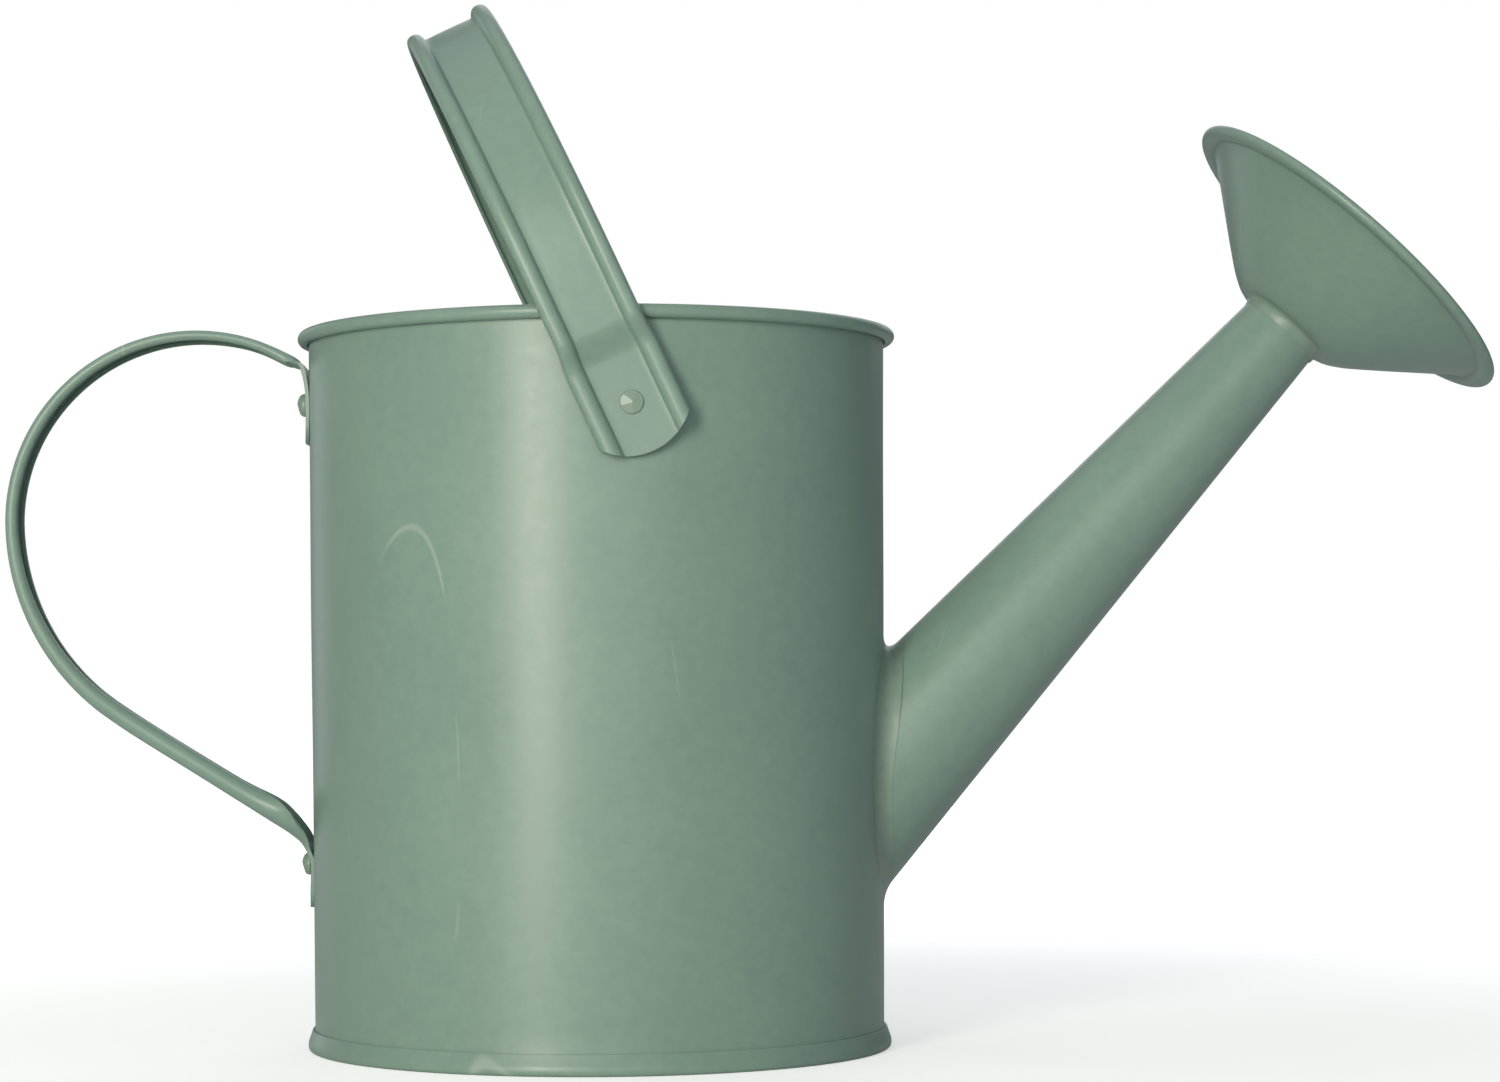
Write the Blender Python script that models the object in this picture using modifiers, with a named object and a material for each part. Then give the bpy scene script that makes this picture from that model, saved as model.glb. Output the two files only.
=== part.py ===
"""Sheet steel watering can with a swinging bail, a fixed rear handle and a soldered-on rose.

Units are metres and +Z is up. The spout points along +X, and the bail swings about an axis along Y.
The origin is the middle of the can's bounding box, on the surface that it stands on. Every piece is
modelled from the body's own axis and hangs on one empty that stands on that axis.
"""

from math import cos, pi, radians, sin, sqrt, tan

import bmesh
import bpy
from mathutils import Matrix, Vector

MM = 0.001
GAP = 0.3 * MM                    # between pieces that touch on the real can

# Body: a rolled sheet, a little wider at the top, with a wired rim and a seamed-in base.
SHEET = 0.6 * MM
BODY_TOP_R = 71.6 * MM            # outside
BODY_TAPER = 0.7 * MM             # how much less its radius is just above the base seam
RIM_Z = 176.3 * MM                # middle of the rolled rim
RIM_WIRE_R = 0.75 * MM
RIM_ROLL = radians(298)           # how far the sheet wraps round the wire
BASE_RECESS = 4.5 * MM            # from the floor to the middle of the base panel
SEAM_HEIGHT = 4.9 * MM
SEAM_SPREAD = 1.75 * MM           # how far the seam stands out of the wall
SEAM_CORNER = 0.6 * MM
SEAM_FOOT_CORNER = 0.35 * MM
FLANGE_Z = 1.4 * MM               # lower edge of the body sheet inside the seam
FLANGE_SPREAD = 0.5 * MM

# Spout: a cone whose axis starts on the body wall.
SPOUT_ANGLE = radians(47.3)       # above the horizontal
SPOUT_ROOT_Z = 69.5 * MM
SPOUT_LENGTH = 148.8 * MM         # from the body wall to the back of the rose, along the axis
SPOUT_ROOT_R = 19.8 * MM          # outside
SPOUT_TIP_R = 10.5 * MM           # outside
SPOUT_HOLE_R = 15.0 * MM          # in the body wall
SPOUT_SLIP = 3.0 * MM             # how far the tube goes into the rose
SOLDER_LEG = 2.4 * MM             # of the fillet round the spout's root, and along it at the rose
ROSE_SOLDER_STEP = 1.2 * MM       # how far the rose's fillet stands out of the spout

# Rose: a bell-shaped back and a perforated face crimped round its flange.
ROSE_DEPTH = 23.8 * MM            # from its back to the rim
ROSE_R = 47.3 * MM
ROSE_LIP = 4.9 * MM               # width of the crimp on the back
ROSE_DOME = 5.0 * MM
ROSE_SLOPE = radians(50.4)        # of the bell's side, from the axis
ROSE_HOLE_R = 0.8 * MM
ROSE_HOLE_RINGS = 4
ROSE_HOLE_PITCH = 8.6 * MM

# Bail: a strap with both edges pressed up into beads.
STRAP = 0.9 * MM
BAIL_WIDTH = 22.9 * MM            # at the riveted ends
BAIL_ARCH_WIDTH = 21.6 * MM       # above the joggles, where the edges are drawn in
BAIL_BEAD = 4.0 * MM              # width of each bead
BAIL_BEAD_HEIGHT = 2.2 * MM
BAIL_STRAIGHT = 13.6 * MM         # of each leg, from the joggle to the arch
BAIL_TAIL = 12.3 * MM             # from the pivot to the rounded end
BAIL_END_R = 15.3 * MM
BAIL_LEAN = radians(24.8)         # towards the rear handle
BAIL_RIM_GAP = 0.5 * MM           # between the legs and the rolled rim
JOGGLE_RUN = 8.0 * MM             # the legs step out over the rim
JOGGLE_RIM_GAP = 0.95 * MM        # under the rolled rim when the bail is upright
PIVOT_X = 8.9 * MM                # from the body's axis
PIVOT_DROP = 21.1 * MM            # from the rim

# Rear handle: a strip with both edges rolled under, flat where it is riveted.
HANDLE_STRIP = 18.0 * MM          # width while it is flat
ROLL_TOP_BORE = 0.2 * MM          # inside radius of the rolled edge, at the upper end
ROLL_BACK_BORE = 0.65 * MM        # at the back of the grip
ROLL_LOW_BORE = 1.45 * MM         # at the lower end
HANDLE_ROLL = radians(205)
HANDLE_DEPTH = 75.5 * MM          # from the top of the body wall to the back of the grip
HANDLE_DROP = 45.1 * MM           # from the rim to the back of the grip
UPPER_SLOPE = radians(28)
UPPER_RUN = 3.5 * MM              # how far out the straight stretch reaches from the upper bend
UPPER_BEND = (1.5 * MM, 8.7 * MM)  # from the flat tab to the bend: out of the wall, and up
UPPER_RIVET_DROP = 10.5 * MM      # from the upper bend
UPPER_TAB = 20.3 * MM             # from the bend to the foot of the tab
LOWER_SLOPE = radians(32.5)
LOWER_RUN = 44.0 * MM             # and from the lower bend
LOWER_BEND = (3.35 * MM, 3.4 * MM)
LOWER_RIVET_DROP = 6.8 * MM
LOWER_TAB = 17.5 * MM
TAB_CHAMFER = 3.0 * MM

# Rivets, each closed over a backing washer inside the can.
HANDLE_HEAD_R = 2.9 * MM
HANDLE_HEAD = 2.3 * MM
PIVOT_HEAD_R = 2.8 * MM
PIVOT_HEAD = 1.1 * MM
SHANK_R = 1.6 * MM
WASHER_R = 4.0 * MM
WASHER = 0.8 * MM
TAIL_R = 2.6 * MM
TAIL = 1.2 * MM

BODY_STEPS = 48
ROSE_STEPS = 40
SPOUT_STEPS = 32
SMALL_STEPS = 12

MATERIALS = {
    "green_paint": ((0.212, 0.292, 0.234), 0.0, 0.38),
    "rivet_paint": ((0.212, 0.292, 0.234), 0.0, 0.34),
    "solder_paint": ((0.190, 0.262, 0.212), 0.0, 0.42),
    "zinc_steel": ((0.52, 0.53, 0.53), 0.9, 0.45),
}


# ---------------------------------------------------------------- worked-out sizes

def body_radius(z):
    """Outside radius of the body wall at a height."""
    return BODY_TOP_R - BODY_TAPER * (RIM_Z - z) / (RIM_Z - SEAM_HEIGHT)


def spout_radius(along):
    """Outside radius of the spout at a distance along its axis."""
    return SPOUT_ROOT_R + (SPOUT_TIP_R - SPOUT_ROOT_R) * along / SPOUT_LENGTH


BODY_FOOT_R = body_radius(SEAM_HEIGHT)
CURL_R = RIM_WIRE_R + GAP + SHEET / 2
RIM_R = body_radius(RIM_Z) - SHEET / 2 + 2 * CURL_R + SHEET / 2
FACET = cos(pi / BODY_STEPS)      # flats of the turned body, as a share of its radius
SPOUT_FRAME = (
    Matrix.Translation((body_radius(SPOUT_ROOT_Z), 0, SPOUT_ROOT_Z))
    @ Matrix.Rotation(pi / 2 - SPOUT_ANGLE, 4, "Y")
)
ROSE_FRAME = SPOUT_FRAME @ Matrix.Translation((0, 0, SPOUT_LENGTH + ROSE_DEPTH))

PIVOT_Z = RIM_Z - PIVOT_DROP
JOGGLE_END = PIVOT_DROP - CURL_R - SHEET / 2 - JOGGLE_RIM_GAP
JOGGLE_START = JOGGLE_END - JOGGLE_RUN

ROLL_TOP_R = ROLL_TOP_BORE + STRAP / 2
ROLL_BACK_R = ROLL_BACK_BORE + STRAP / 2
ROLL_LOW_R = ROLL_LOW_BORE + STRAP / 2


def tab_depth(z):
    """Depth of the middle of a handle tab that lies on the wall at a height."""
    return body_radius(z) + GAP + STRAP / 2


# The grip's arcs turn from its back to the straight stretch at each end, so their radii follow its depth.
HANDLE_REACH = BODY_TOP_R + HANDLE_DEPTH
HANDLE_Z = RIM_Z - HANDLE_DROP
GRIP_BACK = HANDLE_REACH - STRAP / 2
UPPER_BEND_X = tab_depth(RIM_Z) + UPPER_BEND[0]
UPPER_ARC_R = (GRIP_BACK - UPPER_BEND_X - UPPER_RUN) / (1 + sin(UPPER_SLOPE))
UPPER_BEND_Z = HANDLE_Z + UPPER_ARC_R * cos(UPPER_SLOPE) - UPPER_RUN * tan(UPPER_SLOPE)
UPPER_RIVET_Z = UPPER_BEND_Z - UPPER_RIVET_DROP
LOWER_BEND_X = tab_depth(SEAM_HEIGHT) + LOWER_BEND[0]
LOWER_ARC_R = (GRIP_BACK - LOWER_BEND_X - LOWER_RUN) / (1 - sin(LOWER_SLOPE))
LOWER_BEND_Z = HANDLE_Z - LOWER_ARC_R * cos(LOWER_SLOPE) - LOWER_RUN * tan(LOWER_SLOPE)
LOWER_RIVET_Z = LOWER_BEND_Z - LOWER_RIVET_DROP


# ---------------------------------------------------------------- general tools

def material(name):
    """The Principled material of that name, made once."""
    made = bpy.data.materials.get(name)
    if made:
        return made
    colour, metallic, roughness = MATERIALS[name]
    made = bpy.data.materials.new(name)
    made.use_nodes = True
    shader = made.node_tree.nodes["Principled BSDF"]
    shader.inputs["Base Color"].default_value = (*colour, 1)
    shader.inputs["Metallic"].default_value = metallic
    shader.inputs["Roughness"].default_value = roughness
    return made


def add_object(name, mesh, finish, frame=Matrix.Identity(4)):
    """Put a mesh in the can's collection, at a frame measured from the body's axis."""
    piece = bpy.data.objects.new(name, mesh)
    piece.parent = can
    piece.matrix_local = frame
    if finish:
        mesh.materials.append(material(finish))
        parts.objects.link(piece)
        mesh.shade_smooth()
        mesh.set_sharp_from_angle(angle=radians(35))
    else:
        cutters.objects.link(piece)
        piece.hide_render = True
        piece.display_type = "WIRE"
    return piece


def cut(piece, cutter):
    """Take the cutter out of the piece."""
    boolean = piece.modifiers.new("cut_" + cutter.name, "BOOLEAN")
    boolean.operation = "DIFFERENCE"
    boolean.object = cutter


def sheet_outline(middle, thickness):
    """Outline of a bent sheet from its middle line: its left side, then its right side back.

    A line that starts on the axis is turned about it, so its first point keeps to the axis.
    """
    points = [Vector(point) for point in middle]
    first = points[0]
    before = Vector((-points[1].x, points[1].y)) if first.x == 0 else first * 2 - points[1]
    points = [before] + points + [points[-1] * 2 - points[-2]]
    left = []
    right = []
    for back, here, ahead in zip(points, points[1:], points[2:]):
        arriving = (here - back).normalized()
        leaving = (ahead - here).normalized()
        normal = Vector((-arriving.y, arriving.x))
        mitre = (normal + Vector((-leaving.y, leaving.x))).normalized()
        offset = mitre * (thickness / 2 / mitre.dot(normal))
        left.append(here + offset)
        right.append(here - offset)
    return left + right[::-1]


def turned(name, outline, steps, finish, frame=Matrix.Identity(4)):
    """Turn an outline of (radius, height) points about Z. One that starts on the axis stays open there."""
    mesh = bpy.data.meshes.new(name)
    count = len(outline)
    edges = [(i, i + 1) for i in range(count - 1)]
    if outline[0][0] > GAP:
        edges.append((count - 1, 0))
    mesh.from_pydata([(radius, 0, height) for radius, height in outline], edges, [])
    piece = add_object(name, mesh, finish, frame)
    screw = piece.modifiers.new("turn", "SCREW")
    screw.axis = "Z"
    screw.steps = steps
    screw.render_steps = steps
    screw.use_merge_vertices = True
    screw.merge_threshold = 0.00001
    screw.use_smooth_shade = True
    return piece


def cylinder_cutter(name, radius, length, frame, sides=SMALL_STEPS, far_radius=None):
    """A solid rod from the frame's origin along its Z axis."""
    mesh = bpy.data.meshes.new(name)
    rod = bmesh.new()
    bmesh.ops.create_cone(
        rod,
        cap_ends=True,
        segments=sides,
        radius1=radius,
        radius2=radius if far_radius is None else far_radius,
        depth=length,
        matrix=Matrix.Translation((0, 0, length / 2)),
    )
    rod.to_mesh(mesh)
    rod.free()
    return add_object(name, mesh, None, frame)


def loft(name, rings, finish, frame=Matrix.Identity(4), open_end=False, joined=False):
    """Skin a row of sheet outlines. The ends are closed between the sheet's two sides.

    With open_end the last ring stays open, and with joined the last ring meets the first.
    """
    mesh = bpy.data.meshes.new(name)
    skin = bmesh.new()
    rows = [[skin.verts.new(point) for point in ring] for ring in rings]
    count = len(rows[0])
    pairs = list(zip(rows, rows[1:]))
    if joined:
        pairs.append((rows[-1], rows[0]))
    for row, following in pairs:
        for i in range(count):
            j = (i + 1) % count
            skin.faces.new((row[i], row[j], following[j], following[i]))
    ends = [] if joined else [rows[0]] if open_end else [rows[0], rows[-1]]
    for row in ends:
        for i in range(count // 2 - 1):
            skin.faces.new((row[i], row[i + 1], row[count - 2 - i], row[count - 1 - i]))
    bmesh.ops.recalc_face_normals(skin, faces=skin.faces)
    skin.to_mesh(mesh)
    skin.free()
    return add_object(name, mesh, finish, frame)


def arc(centre, radius, start, end, steps):
    """Points on an arc, from one angle to another."""
    angles = [start + (end - start) * i / steps for i in range(steps + 1)]
    return [(centre[0] + radius * cos(a), centre[1] + radius * sin(a)) for a in angles]


# ---------------------------------------------------------------- body

def make_body():
    """Rolled wall with its rim curled round a wire, and its lower edge flared into the base seam."""
    wall_top = body_radius(RIM_Z) - SHEET / 2
    wall_foot = body_radius(SEAM_HEIGHT + CURL_R) - SHEET / 2
    middle = arc((wall_top + CURL_R, RIM_Z), CURL_R, pi - RIM_ROLL, pi, 7)
    middle.append((wall_foot, SEAM_HEIGHT + CURL_R))
    middle.append((wall_foot + FLANGE_SPREAD, FLANGE_Z))
    body = turned("body_shell", sheet_outline(middle, SHEET), BODY_STEPS, "green_paint")
    into_can = Matrix.Translation((0, 0, -SPOUT_ROOT_R))
    cut(body, cylinder_cutter("spout_hole", SPOUT_HOLE_R, 2 * SPOUT_ROOT_R, SPOUT_FRAME @ into_can, 24))
    for rod in (pivot_hole, upper_hole, lower_hole):
        cut(body, rod)


def make_rim_wire():
    """Wire inside the curl, which stiffens the rim."""
    bpy.ops.mesh.primitive_torus_add(
        major_radius=body_radius(RIM_Z) - SHEET / 2 + CURL_R,
        minor_radius=RIM_WIRE_R,
        major_segments=BODY_STEPS,
        minor_segments=6,
    )
    made = bpy.context.object
    mesh = made.data
    bpy.data.objects.remove(made)
    add_object("rim_wire", mesh, "zinc_steel", Matrix.Translation((0, 0, RIM_Z)))


def make_base():
    """Recessed base panel, hooked under and round the body's lower edge."""
    half = SHEET / 2
    skirt = BODY_FOOT_R - SHEET - GAP - half
    hook = BODY_FOOT_R + SEAM_SPREAD - half
    middle = [
        (0, BASE_RECESS),
        (skirt - SEAM_CORNER, BASE_RECESS),
        (skirt, BASE_RECESS - SEAM_CORNER),
        (skirt, half + SEAM_CORNER),
        (skirt + SEAM_CORNER, half),
        (hook - SEAM_FOOT_CORNER, half),
        (hook, half + SEAM_FOOT_CORNER),
        (hook, SEAM_HEIGHT * 0.42),
        (hook - SEAM_SPREAD * 0.35, SEAM_HEIGHT * 0.68),
        (BODY_FOOT_R + GAP + half, SEAM_HEIGHT),
    ]
    turned("base_pan", sheet_outline(middle, SHEET), BODY_STEPS, "green_paint")


# ---------------------------------------------------------------- spout and rose

def make_spout():
    """Tapered tube, cut to the curve of the body wall."""
    half = SHEET / 2
    tip = SPOUT_LENGTH + SPOUT_SLIP
    root = -2 * SPOUT_ROOT_R
    middle = [(spout_radius(tip) - half, tip), (spout_radius(root) - half, root)]
    spout = turned("spout_tube", sheet_outline(middle, SHEET), SPOUT_STEPS, "green_paint", SPOUT_FRAME)
    wall = cylinder_cutter(
        "body_envelope",
        body_radius(0) + GAP,
        RIM_Z,
        Matrix.Identity(4),
        2 * BODY_STEPS,
        body_radius(RIM_Z) + GAP,
    )
    cut(spout, wall)


def spout_meets_body(around):
    """Where a line down the spout's surface reaches the body, with both surfaces' normals there."""
    rim = Vector((cos(around), sin(around), 0))
    taper = (SPOUT_ROOT_R - SPOUT_TIP_R) / SPOUT_LENGTH
    low = -2 * SPOUT_ROOT_R
    high = 2 * SPOUT_ROOT_R
    for _ in range(40):
        along = (low + high) / 2
        point = SPOUT_FRAME @ (rim * spout_radius(along) + Vector((0, 0, along)))
        inside = Vector((point.x, point.y)).length < body_radius(point.z) + GAP
        low, high = (along, high) if inside else (low, along)
    turn = SPOUT_FRAME.to_3x3()
    spout_normal = (turn @ (rim + Vector((0, 0, taper)))).normalized()
    body_normal = Vector((point.x, point.y, 0)).normalized()
    return point, spout_normal, body_normal


def make_spout_solder():
    """Fillet of solder round the spout's root: a concave strip that leans on both pieces."""
    rings = []
    for i in range(SPOUT_STEPS):
        point, spout_normal, body_normal = spout_meets_body(2 * pi * i / SPOUT_STEPS)
        lean = spout_normal.dot(body_normal)
        along_seam = body_normal.cross(spout_normal).normalized()
        up_spout = along_seam.cross(spout_normal).normalized()
        out_body = body_normal.cross(along_seam).normalized()
        if up_spout.dot(body_normal) < 0:
            up_spout = -up_spout
        if out_body.dot(spout_normal) < 0:
            out_body = -out_body
        corner = point + (spout_normal - body_normal * lean) * (GAP / (1 - lean * lean))
        edge_up = corner + up_spout * SOLDER_LEG
        edge_out = corner + out_body * SOLDER_LEG
        hollow = corner + (up_spout + out_body) * (SOLDER_LEG * 0.3)
        rings.append([corner, edge_up, hollow, edge_out])
    loft("spout_solder", rings, "solder_paint", joined=True)


def rose_face_middle():
    """Middle line of the face from its centre to the end of the crimp on the back."""
    half = SHEET / 2
    edge = ROSE_R - half
    back = -2 * (SHEET + GAP)
    flat = edge - SHEET - 2 * MM
    dome = [(flat * i / 3, ROSE_DOME * (1 - (i / 3) ** 2)) for i in range(4)]
    return dome + [
        (edge - SHEET, 0),
        (edge, -SHEET),
        (edge, back + SHEET),
        (edge - SHEET, back),
        (ROSE_R - ROSE_LIP, back),
    ]


def make_rose():
    """Perforated face, and the bell-shaped back whose flange it is crimped round."""
    half = SHEET / 2
    outline = sheet_outline(rose_face_middle(), SHEET)
    face = turned("rose_face", outline, ROSE_STEPS, "green_paint", ROSE_FRAME)
    cut(face, rose_holes())

    flange = -(SHEET + GAP)
    neck = spout_radius(SPOUT_LENGTH) + GAP
    side_end = ROSE_R - ROSE_LIP - GAP - half - SHEET * cos(ROSE_SLOPE)
    side_start = 2.3 * neck
    side_drop = (side_end - side_start) / tan(ROSE_SLOPE)
    side_top = 2 * flange
    shoulder = -ROSE_DEPTH + half
    middle = [
        (ROSE_R - SHEET - GAP - half, flange),
        (side_end + flange * -tan(ROSE_SLOPE), flange),
        (side_start, side_top - side_drop),
        (neck + (side_start - neck) * 0.56, shoulder + (side_top - side_drop - shoulder) * 0.36),
        (neck + (side_start - neck) * 0.28, shoulder + (side_top - side_drop - shoulder) * 0.05),
        (neck, shoulder),
    ]
    turned("rose_back", sheet_outline(middle, SHEET), ROSE_STEPS, "green_paint", ROSE_FRAME)

    bore = spout_radius(SPOUT_LENGTH - GAP - SOLDER_LEG) + GAP
    top = -ROSE_DEPTH - GAP
    ring = [
        (bore + ROSE_SOLDER_STEP, top),
        (bore + ROSE_SOLDER_STEP * 0.55, top - SOLDER_LEG * 0.35),
        (bore + ROSE_SOLDER_STEP * 0.25, top - SOLDER_LEG),
        (bore, top - SOLDER_LEG),
        (bore, top),
    ]
    turned("rose_solder", ring, SPOUT_STEPS, "solder_paint", ROSE_FRAME)


def rose_holes():
    """One cutter for the holes: a middle one, and rings with six more holes each."""
    mesh = bpy.data.meshes.new("rose_holes")
    rods = bmesh.new()
    for ring in range(ROSE_HOLE_RINGS + 1):
        for i in range(max(1, 6 * ring)):
            around = 2 * pi * i / max(1, 6 * ring)
            spot = Vector((cos(around), sin(around), 0)) * (ring * ROSE_HOLE_PITCH)
            bmesh.ops.create_cone(
                rods,
                cap_ends=True,
                segments=6,
                radius1=ROSE_HOLE_R,
                radius2=ROSE_HOLE_R,
                depth=4 * ROSE_DOME,
                matrix=Matrix.Translation(spot + Vector((0, 0, 2 * ROSE_DOME - SHEET))),
            )
    rods.to_mesh(mesh)
    rods.free()
    return add_object("rose_holes", mesh, None, ROSE_FRAME)


# ---------------------------------------------------------------- bail

def bail_section():
    """Middle line across the strap: a flat web between two raised beads."""
    half = BAIL_WIDTH / 2 - STRAP / 2
    foot = BAIL_WIDTH / 2 - BAIL_BEAD
    crown = half - (half - foot) / 2
    side = [
        (0, 0),
        (foot - STRAP / 2, 0),
        (foot + STRAP * 0.2, BAIL_BEAD_HEIGHT * 0.35),
        (crown - STRAP * 0.9, BAIL_BEAD_HEIGHT * 0.88),
        (crown, BAIL_BEAD_HEIGHT),
        (crown + STRAP * 0.9, BAIL_BEAD_HEIGHT * 0.88),
        (half, BAIL_BEAD_HEIGHT * 0.4),
        (half, 0),
    ]
    return [(-across, up) for across, up in side[:0:-1]] + side


def make_bail():
    """Strap from the near pivot to the top of the arch, mirrored to the far side."""
    outline = sheet_outline(bail_section(), STRAP)
    low = BODY_TOP_R + GAP + STRAP / 2
    high = RIM_R + BAIL_RIM_GAP + STRAP / 2
    arch_z = JOGGLE_END + BAIL_STRAIGHT
    rings = []
    for i in range(4):
        ring = []
        for across, out in outline:
            end = BAIL_TAIL - BAIL_END_R + sqrt(BAIL_END_R ** 2 - across ** 2)
            ring.append((across, -low - out, -end + (JOGGLE_START + end) * i / 3))
        rings.append(ring)
    narrow = BAIL_ARCH_WIDTH / BAIL_WIDTH
    for share in (0.25, 0.5, 0.75, 1.0):
        ease = share * share * (3 - 2 * share)
        width = 1 + (narrow - 1) * ease
        z = JOGGLE_START + (JOGGLE_END - JOGGLE_START) * share
        rings.append([(across * width, -low - (high - low) * ease - out, z) for across, out in outline])
    for y, z in arc((0, 0), 1, pi, pi / 2, 10):
        rings.append([
            (across * narrow, y * (high + out), arch_z + z * (high + out))
            for across, out in outline
        ])
    rings[-1] = [(x, 0, z) for x, y, z in rings[-1]]
    frame = Matrix.Translation((PIVOT_X, 0, PIVOT_Z)) @ Matrix.Rotation(-BAIL_LEAN, 4, "Y")
    bail = loft("bail_handle", rings, "green_paint", frame, open_end=True)
    mirror = bail.modifiers.new("far_side", "MIRROR")
    mirror.use_axis = (False, True, False)
    mirror.merge_threshold = 0.00002
    cut(bail, pivot_hole)


# ---------------------------------------------------------------- rear handle

def strip_outline(roll, full_radius, width):
    """Outline across the strip, with its edges rolled under by a share of the full roll."""
    rolled = full_radius * HANDLE_ROLL
    turn = HANDLE_ROLL * max(roll, 0.02)
    radius = rolled / turn
    flat = width / 2 - rolled
    side = [(0, 0), (flat, 0)]
    for i in range(1, 7):
        a = turn * i / 6
        side.append((flat + radius * sin(a), radius * (cos(a) - 1)))
    return sheet_outline([(-across, up) for across, up in side[:0:-1]] + side, STRAP)


def handle_path():
    """Stations along the strip's middle, from the foot of the upper tab to the foot of the lower one.

    Each has its point, the share and the radius of the edges' roll, and the share of the strip's width.
    """
    tab_top = -tab_depth(RIM_Z)
    tab_low = -tab_depth(LOWER_RIVET_Z)
    upper_centre = (UPPER_ARC_R - GRIP_BACK, HANDLE_Z)
    lower_centre = (LOWER_ARC_R - GRIP_BACK, HANDLE_Z)
    upper = arc(upper_centre, UPPER_ARC_R, pi / 2 - UPPER_SLOPE, pi, 12)
    lower = arc(lower_centre, LOWER_ARC_R, pi, 3 * pi / 2 - LOWER_SLOPE, 6)
    upper_foot = UPPER_BEND_Z - UPPER_TAB
    lower_foot = LOWER_BEND_Z - LOWER_TAB
    stations = [
        ((tab_top, upper_foot), 0, ROLL_TOP_R, 0.6),
        ((tab_top, upper_foot + TAB_CHAMFER), 0, ROLL_TOP_R, 1),
        ((tab_top, UPPER_BEND_Z - UPPER_BEND[1]), 0, ROLL_TOP_R, 1),
        ((-UPPER_BEND_X, UPPER_BEND_Z - 1.2 * MM), 0, ROLL_TOP_R, 1),
        ((-UPPER_BEND_X - 0.8 * MM, UPPER_BEND_Z + 0.3 * MM), 0.2, ROLL_TOP_R, 1),
    ]
    for i, point in enumerate(upper):
        radius = ROLL_TOP_R + (ROLL_BACK_R - ROLL_TOP_R) * i / 12
        stations.append((point, min(1, 0.55 + 0.45 * i), radius, 1))
    for i, point in enumerate(lower[1:], 1):
        stations.append((point, 1, ROLL_BACK_R + (ROLL_LOW_R - ROLL_BACK_R) * i / 6, 1))

    for share, roll in ((0.4, 1), (0.72, 1), (0.88, 0.6), (1, 0.12)):
        x = lower[-1][0] - (LOWER_BEND_X + lower[-1][0]) * share
        z = lower[-1][1] + (LOWER_BEND_Z - lower[-1][1]) * share
        stations.append(((x, z), roll, ROLL_LOW_R, 1))
    flat_z = LOWER_BEND_Z - LOWER_BEND[1]
    stations += [
        ((tab_low - 0.6 * MM, flat_z + 0.9 * MM), 0, ROLL_BACK_R, 1),
        ((tab_low, flat_z - 0.6 * MM), 0, ROLL_BACK_R, 1),
        ((tab_low, lower_foot + TAB_CHAMFER), 0, ROLL_BACK_R, 1),
        ((tab_low, lower_foot), 0, ROLL_BACK_R, 0.6),
    ]
    return stations


def make_rear_handle():
    """Strip swept along its path. Its rolled edges open out into tabs, which wrap round the body."""
    stations = handle_path()
    points = [Vector(station[0]) for station in stations]
    points = [points[0] * 2 - points[1]] + points + [points[-1] * 2 - points[-2]]
    rings = []
    for i, (_, roll, radius, width) in enumerate(stations):
        back, here, ahead = points[i:i + 3]
        arriving = (here - back).normalized()
        leaving = (ahead - here).normalized()
        normal = Vector((arriving.y, -arriving.x))
        mitre = (normal + Vector((leaving.y, -leaving.x))).normalized()
        mitre /= mitre.dot(normal)
        ring = []
        for across, up in strip_outline(roll, radius, HANDLE_STRIP * width):
            wrap = max(0, 1 - 5 * roll) * (BODY_TOP_R - sqrt(BODY_TOP_R ** 2 - across ** 2))
            ring.append((here.x + mitre.x * up + wrap, across, here.y + mitre.y * up))
        rings.append(ring)
    handle = loft("rear_handle", rings, "green_paint")
    for rod in (upper_hole, lower_hole):
        cut(handle, rod)


# ---------------------------------------------------------------- rivets

def make_rivet(name, frame, head_r, head, washer_at):
    """Headed rivet and its washer. Local Z points out of the can, and the head's underside is at zero."""
    closed = washer_at - WASHER - GAP
    dome = [(head_r * sin(a), head * cos(a)) for a in (0, radians(30), radians(58), radians(80))]
    outline = dome + [
        (head_r, 0),
        (SHANK_R, 0),
        (SHANK_R, closed),
        (TAIL_R, closed),
        (TAIL_R * 0.8, closed - TAIL),
        (0, closed - TAIL),
    ]
    turned(name, outline, SMALL_STEPS, "rivet_paint", frame)
    ring = [
        (WASHER_R, washer_at),
        (WASHER_R, washer_at - WASHER),
        (SHANK_R + GAP, washer_at - WASHER),
        (SHANK_R + GAP, washer_at),
    ]
    turned(name + "_washer", ring, SMALL_STEPS, "zinc_steel", frame)


def inner_wall(z, offset):
    """Depth of the flat-sided inner wall, at a height and a distance sideways from the body's axis."""
    radius = (body_radius(z) - SHEET) * FACET
    return sqrt(radius ** 2 - offset ** 2) - GAP


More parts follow.
